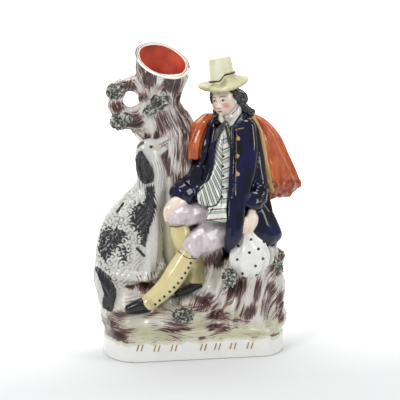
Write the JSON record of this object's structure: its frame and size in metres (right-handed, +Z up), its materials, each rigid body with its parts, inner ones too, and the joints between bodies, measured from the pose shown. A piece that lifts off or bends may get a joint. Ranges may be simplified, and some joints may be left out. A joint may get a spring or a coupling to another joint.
{
  "type": "staffordshire spill vase",
  "caption": "Glazed earthenware spill vase: a seated man in a wide hat with a dog by a hollow tree trunk, on a low base.",
  "frame": {"origin": "centre of the base's flat underside", "axes": "+Z up out of the base, +X to the right of someone facing the front, -Y out of the front"},
  "size_m": [0.2276, 0.0975, 0.3249],
  "materials": {
    "painted_glaze": "glossy lead glaze over painted colours"
  },
  "bodies": {
    "root": {"spill_vase": "painted_glaze"}
  },
  "joints": []
}
